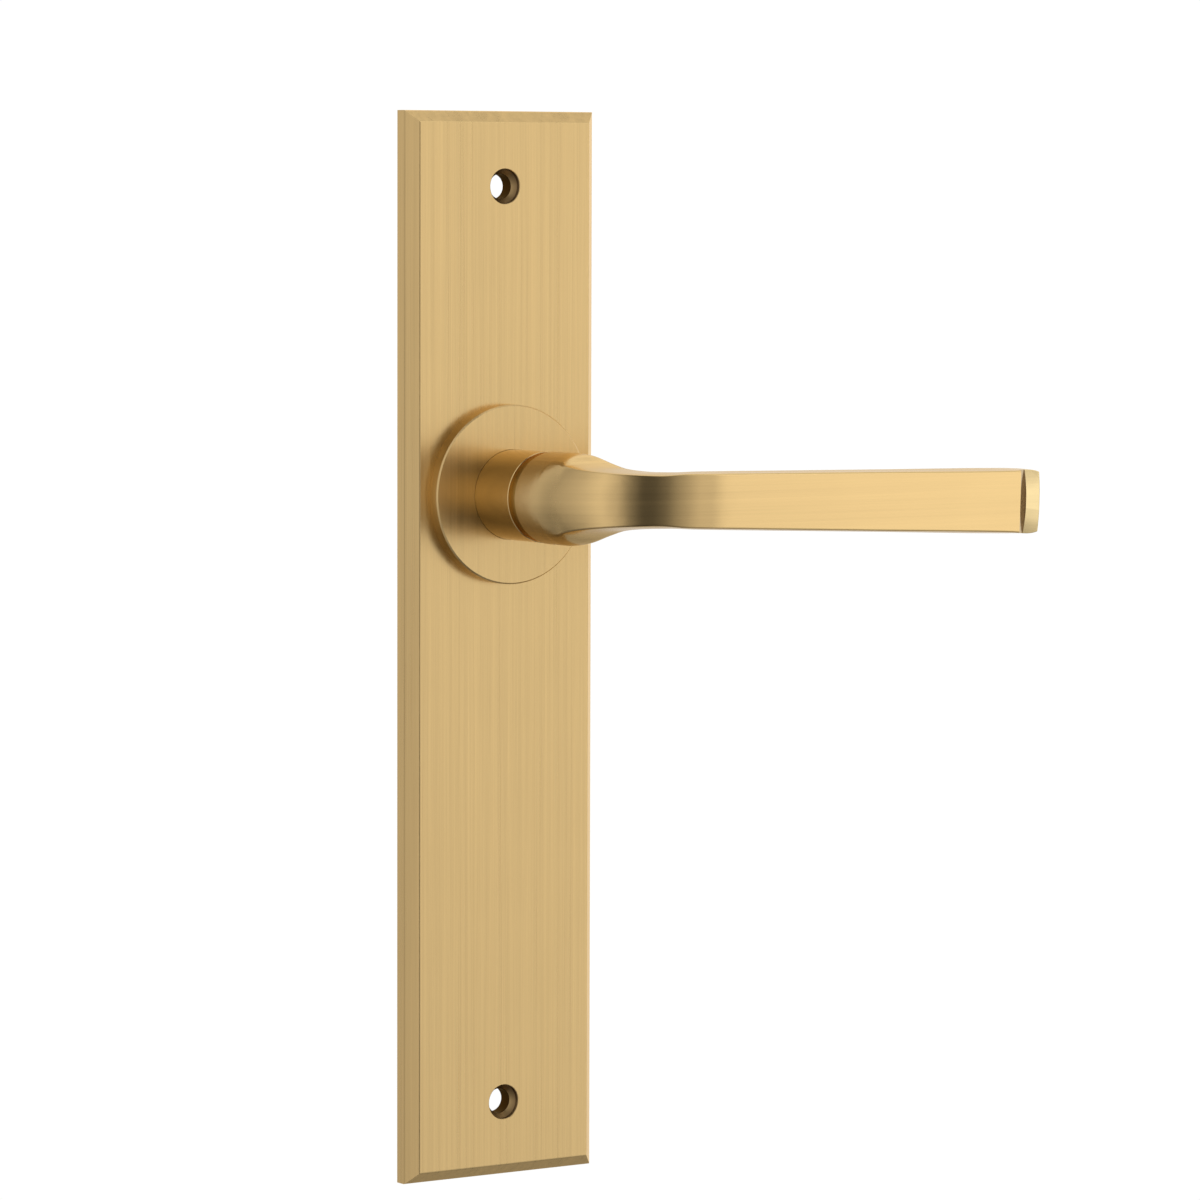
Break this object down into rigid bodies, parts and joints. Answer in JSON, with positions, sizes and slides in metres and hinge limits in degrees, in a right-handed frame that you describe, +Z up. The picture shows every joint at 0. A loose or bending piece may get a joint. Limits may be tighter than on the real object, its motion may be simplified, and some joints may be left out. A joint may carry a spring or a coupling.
{
  "type": "lever handle lockset",
  "caption": "Long-plate lever handle lockset in brushed brass: bevelled backplate, round rose and neck, straight lever, sprung cassette and square spindle.",
  "frame": {"origin": "spindle axis in the plane of the door face (the backplate's rear plane)", "axes": "+X towards the lever tip, +Y into the door so that the front faces -Y, +Z up"},
  "size_m": [0.1386, 0.083, 0.24],
  "materials": {
    "satin_brass": "brushed",
    "golden_ring": "satin",
    "nylon": "matte",
    "zinc_steel": "zinc plated",
    "spring_steel": "oiled"
  },
  "bodies": {
    "root": {"backplate": "satin_brass", "rose_disc": "satin_brass", "neck_collar": "satin_brass", "collar_key": "zinc_steel", "anchor_pin": "zinc_steel", "neck_bush": "nylon", "thrust_ring": "golden_ring", "cassette_housing": "zinc_steel", "cassette_cover": "zinc_steel", "cassette_screws": "zinc_steel", "stop_pins": "zinc_steel", "return_spring": "spring_steel"},
    "lever_assembly": {"lever": "satin_brass", "spindle": "zinc_steel", "spindle_leaf_spring": "spring_steel", "grub_screw": "spring_steel", "drive_cam": "zinc_steel", "shim_washer": "zinc_steel", "circlip": "spring_steel", "spring_washer": "spring_steel"}
  },
  "joints": [
    {"name": "lever_turn", "type": "hinge", "parent": "root", "child": "lever_assembly", "pos_m": [0, 0, 0], "axis": [0, 1, 0], "range_deg": [-1.65, 43.35], "stiffness_Nm_per_rad": 0.5, "springref_deg": -17.19, "deforming": ["return_spring"]}
  ]
}
